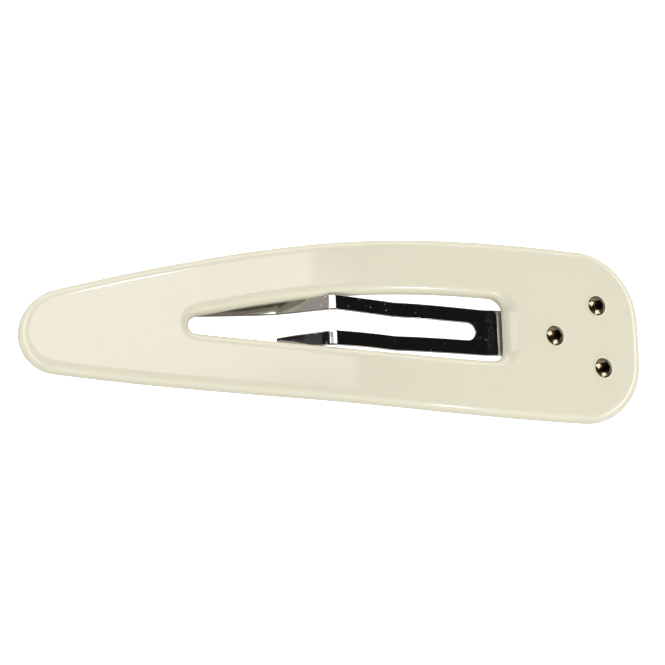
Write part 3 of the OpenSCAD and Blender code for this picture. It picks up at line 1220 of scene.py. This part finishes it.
@dataclass
class Stones:
    """Three round stones, each a cut crown over a foiled point, set in a resin bead."""

    arch: Arch
    shell: Shell
    girdle_r: float = 1.15
    table_r: float = 0.625
    crown: float = 0.42
    girdle: float = 0.08
    pavilion: float = 0.85
    back: float = 5.5
    step: float = 6.0
    spread: float = 7.5
    seat_r: float = 1.21
    seat_depth: float = 0.99
    foil_gap: float = 0.012
    foil_wall: float = 0.03
    bead_from: float = 0.015
    bead_to: float = 0.19
    bead_high: float = 0.07
    bead_low: float = -0.06
    bead_round: float = 0.8
    bead_sides: int = 72
    turn: float = math.radians(3.5)
    cut_turn: float = math.radians(-10)
    sides: int = 8
    sharp_deg: float = 50.0
    glass: Mottled = STONE_GLASS
    mirror: Mottled = STONE_FOIL
    resin: Mottled = SETTING_RESIN
    seats: list = field(default_factory=list)

    def __post_init__(self) -> None:
        """Places the three seats, the inner one first."""
        middle = self.shell.x1 - self.back
        places = ((-self.step, 0.0), (0.0, self.spread / 2), (0.0, -self.spread / 2))
        for along, across in places:
            x = middle + along * math.cos(self.turn) - across * math.sin(self.turn)
            y = along * math.sin(self.turn) + across * math.cos(self.turn)
            self.seats.append(self.arch.stand(x, y))

    def ring(self, radius: float, height: float, count: int, start: float = 0.0) -> np.ndarray:
        """A level ring of points at even angles.

        Args:
            radius: its radius.
            height: its height.
            count: number of points.
            start: angle of the first one, past the turn of the cut.

        Returns:
            The points.
        """
        angle = self.cut_turn + start + np.arange(count) * 2 * np.pi / count
        return np.stack(
            [radius * np.cos(angle), radius * np.sin(angle), np.full(count, height)], -1
        )

    def cut(self) -> Mesh:
        """The cut stone.

        Rings of points at even angles: the table, the stars half a step on, and the
        girdle above and below with twice as many. Facets join them, and the back runs
        to one point.

        Returns:
            The points and the faces.
        """
        few, many = self.sides, 2 * self.sides
        half = math.pi / few
        star_r = (self.girdle_r + self.table_r) / 2
        fall = self.girdle_r - self.table_r
        star_z = self.crown * (self.girdle_r - star_r * math.cos(half)) / fall
        points = np.concatenate([
            self.ring(self.table_r, self.crown, few), self.ring(star_r, star_z, few, half),
            self.ring(self.girdle_r, 0.0, many), self.ring(self.girdle_r, -self.girdle, many),
            [[0.0, 0.0, -self.girdle - self.pavilion]],
        ])
        table, girdle = np.arange(few), np.arange(many)
        after, star = (table + 1) % few, few + table
        near, middle, far = (many + (2 * table + k) % many for k in range(3))
        upper, beside = many + girdle, many + (girdle + 1) % many
        crown = faces_of((table, star, after), (table, near, star), (after, star, far),
                         (star, near, middle), (star, middle, far))
        back = faces_of((upper, upper + many, beside + many, beside),
                        (upper + many, 3 * many, beside + many))
        return points, [table.tolist()] + crown + back

    def foil(self) -> Mesh:
        """A thin faceted cup a hair outside the stone's pointed back.

        Two rings of points at even angles round the girdle are joined to each other and
        to a point below each.

        Returns:
            The points and the faces.
        """
        gap, wall, many = self.foil_gap, self.foil_wall, 2 * self.sides
        rim, tip = -self.girdle, -self.girdle - self.pavilion - gap
        points = np.concatenate([
            self.ring(self.girdle_r + gap, rim, many),
            self.ring(self.girdle_r + gap + wall, rim, many),
            [[0, 0, tip], [0, 0, tip - wall]],
        ])
        inner = np.arange(many)
        beside, low = (inner + 1) % many, 2 * many
        return points, faces_of((inner, many + inner, many + beside, beside),
                                (beside, low, inner), (many + inner, low + 1, many + beside))

    def bead(self) -> Mesh:
        """The resin bead: a low ring with a round top, turned about the stone's axis.

        Across the top the height is that of the bead times a power of the arc's sine.

        Returns:
            The points and the faces.
        """
        arc = np.radians(np.linspace(0, 180, 9))
        inner, outer = self.girdle_r + self.bead_from, self.girdle_r + self.bead_to
        middle, half = (inner + outer) / 2, (outer - inner) / 2
        top = np.stack([middle + half * np.cos(arc),
                        self.bead_high * np.sin(arc) ** self.bead_round], -1)
        foot = np.array([[inner, self.bead_low], [outer, self.bead_low]])
        return lathe(np.concatenate([foot, top]), self.bead_sides)

    def build(self) -> None:
        """Sets the three stones, each with a foil cup behind it and a resin bead round it."""
        glass, mirror = self.glass.material(), self.mirror.material()
        resin = self.resin.material()
        for number, seat in enumerate(self.seats, 1):
            node = f"stone_{number}"
            for name, shape, finish, slot, nodes, flat in (
                (f"{node}_cut", self.cut(), glass, Slot.STONE, (node,), True),
                (f"{node}_foil", self.foil(), mirror, Slot.STONE, (), True),
                (f"{node}_bead", self.bead(), resin, Slot.PLATE, (), False),
            ):
                points, faces = shape
                piece = Piece(name, Body.CLIP, slot, finish, nodes)
                piece.place((moved(seat, points), faces), self.sharp_deg, flat)


# Studio


def lamp(name: str, size: Row, glow: float, tint: Row) -> bpy.types.Object:
    """Makes a rectangular light, not yet placed.

    Args:
        name: the light's name.
        size: its two sides in metres.
        glow: its radiance, where 1 is white in the picture.
        tint: its colour.

    Returns:
        The light.
    """
    data = bpy.data.lights.new(name, "AREA")
    data.shape, data.size, data.size_y = "RECTANGLE", size[0], size[1]
    data.energy = glow * math.pi * size[0] * size[1]
    data.color = tint
    return linked(name, data)


@dataclass(frozen=True)
class Ceiling:
    """A level soft light that faces straight down.

    It reaches from one place to the other along the clip and across it, in metres. Its
    glow is the radiance, where 1 is white in the picture.
    """

    name: str
    along: Row
    across: Row
    glow: float
    height: float = 0.6
    tint: Row = (0.87, 0.82, 0.92)

    def hang(self) -> None:
        """Hangs the light."""
        size = (self.along[1] - self.along[0], self.across[1] - self.across[0])
        light = lamp(self.name, size, self.glow, self.tint)
        light.location = (sum(self.along) / 2, sum(self.across) / 2, self.height)


@dataclass(frozen=True)
class Softbox:
    """A soft light that faces the clip, with its distance and its two sides in metres.

    towards is the direction from the clip to the light.
    """

    name: str
    towards: Row
    distance: float
    size: Row
    glow: float
    mirrored: bool = True
    tint: Row = (1.0, 1.0, 1.0)

    def hang(self) -> None:
        """Hangs the light, which glossy surfaces mirror or not."""
        axis = Vector(self.towards).normalized()
        turn = axis.to_track_quat("Z", "Y").to_matrix().to_4x4()
        light = lamp(self.name, self.size, self.glow, self.tint)
        light.matrix_world = Matrix.Translation(axis * self.distance) @ turn
        light.visible_glossy = self.mirrored


@dataclass
class Studio:
    """Floor, soft lights and the camera."""

    arch: Arch
    view_back: Row = (-0.2013, -0.2403, 0.9496)
    view_right: Row = (0.9795, -0.0494, 0.1951)
    view_up: Row = (0.0, 0.9694, 0.2453)
    roll: float = math.radians(0.93)
    distance: float = 320.0
    lens: float = 152.9
    sensor: float = 36.0
    clip_range: Row = (0.01, 20.0)
    aim: Row = (-2.027, -1.548)
    floor_half: float = 1.5
    floor_z: float = -0.00002
    horizon_rows: Sequence[Row] = (
        (-1.0, 0.5), (-0.06, 0.5), (0.0, 1.3), (0.18, 1.3), (0.36, 0.012), (1.0, 0.012)
    )
    lights: Sequence[Ceiling | Softbox] = (
        Ceiling("key", (-0.42, 0.0), (0.158, 0.33), 3.5),
        Ceiling("key_near", (-0.42, 0.136), (0.129, 0.158), 3.5),
        Softbox("over", (0.3, -0.1, 0.95), 0.9, (0.9, 0.9), 1.36, mirrored=False),
        Softbox("side_near", (0.05, -0.9, 0.42), 0.8, (1.3, 0.5), 1.2),
        Softbox("side_far", (0.05, 0.92, 0.38), 0.8, (1.3, 0.4), 1.4),
        Softbox("side_left", (-0.98, 0.0, 0.18), 0.8, (1.0, 0.24), 2.6),
        Softbox("side_right", (0.98, 0.0, 0.18), 0.8, (1.0, 0.24), 2.6),
        Softbox("fill_left", (-0.70, 0.50, 0.57), 0.8, (0.5, 0.36), 0.45,
                tint=(1.0, 0.91, 0.84)),
        Softbox("fill_low", (-0.82, -0.10, 0.55), 0.8, (0.3, 0.3), 0.08),
        Softbox("glint_left", (-0.42, 0.43, 0.797), 0.7, (0.08, 0.08), 19.0,
                tint=(0.88, 0.94, 1.18)),
        Softbox("glint_near", (0.47, -0.80, 0.373), 0.8, (0.09, 0.09), 19.0,
                tint=(0.88, 0.94, 1.18)),
    )

    def camera(self) -> None:
        """Places the camera at the photograph's angle."""
        back, right, up = (Vector(v) for v in (self.view_back, self.view_right, self.view_up))
        apex = Vector((0.0, 0.0, self.arch.apex))
        spot = apex + back * self.distance
        target = apex + right * self.aim[0] + up * self.aim[1]
        axis = (spot - target).normalized()
        tilted = right * math.cos(self.roll) + up * math.sin(self.roll)
        side = (tilted - axis * tilted.dot(axis)).normalized()
        top = axis.cross(side)
        data = bpy.data.cameras.new("camera")
        data.lens, data.sensor_width, data.sensor_fit = self.lens, self.sensor, "HORIZONTAL"
        data.clip_start, data.clip_end = self.clip_range
        camera = linked("camera", data)
        turn = Matrix((side, top, axis)).transposed().to_4x4()
        camera.matrix_world = Matrix.Translation(spot * MM) @ turn
        bpy.context.scene.camera = camera

    def floor(self) -> None:
        """Lays the pale floor just under the clip."""
        half, low = self.floor_half, self.floor_z
        mesh = bpy.data.meshes.new("floor")
        corners = [(-half, -half, low), (half, -half, low), (half, half, low), (-half, half, low)]
        mesh.from_pydata(corners, [], [(0, 1, 2, 3)])
        mesh.materials.append(FloorPaper().material())
        floor = linked("floor", mesh)
        floor.visible_diffuse = floor.visible_glossy = floor.visible_transmission = False

    def world(self) -> None:
        """Puts a dim room round the clip, with pale walls low down all round.

        The brightness follows the height of the direction looked in, by horizon_rows.
        """
        world = bpy.data.worlds.new("room")
        world.use_nodes = True
        tree = world.node_tree
        place, part, scale, ramp = (tree.nodes.new(f"ShaderNode{kind}") for kind in (
            "TexCoord", "SeparateXYZ", "Math", "ValToRGB"
        ))
        tree.links.new(place.outputs["Object"], part.inputs[0])
        scale.operation = "MULTIPLY_ADD"
        scale.inputs[1].default_value = scale.inputs[2].default_value = 0.5
        tree.links.new(part.outputs["Z"], scale.inputs[0])
        tree.links.new(scale.outputs[0], ramp.inputs[0])
        stops = ramp.color_ramp.elements
        while len(stops) < len(self.horizon_rows):
            stops.new(0.5)
        for stop, (height, tone) in zip(stops, self.horizon_rows):
            stop.position = height / 2 + 0.5
            stop.color = (tone, tone, tone, 1.0)
        tree.links.new(ramp.outputs[0], tree.nodes["Background"].inputs["Color"])
        bpy.context.scene.world = world

    def build(self) -> None:
        """Sets up the whole studio."""
        self.camera()
        self.floor()
        self.world()
        for light in self.lights:
            light.hang()
        bpy.context.scene.view_settings.view_transform = "Standard"


def main() -> None:
    """Builds the clip piece by piece, then the studio round it."""
    logging.basicConfig(level=logging.INFO, format="%(name)s: %(message)s")
    arch = Arch(cad_box[1][2] / MM)
    shell = Shell(arch)
    stones = Stones(arch, shell)
    shell.build(stones.seats, stones.seat_r, stones.seat_depth)
    SteelFrame(arch, shell).build()
    Blade(arch, shell).build()
    Rivet(arch).build()
    stones.build()
    Studio(arch).build()


if __name__ == "__main__":
    main()
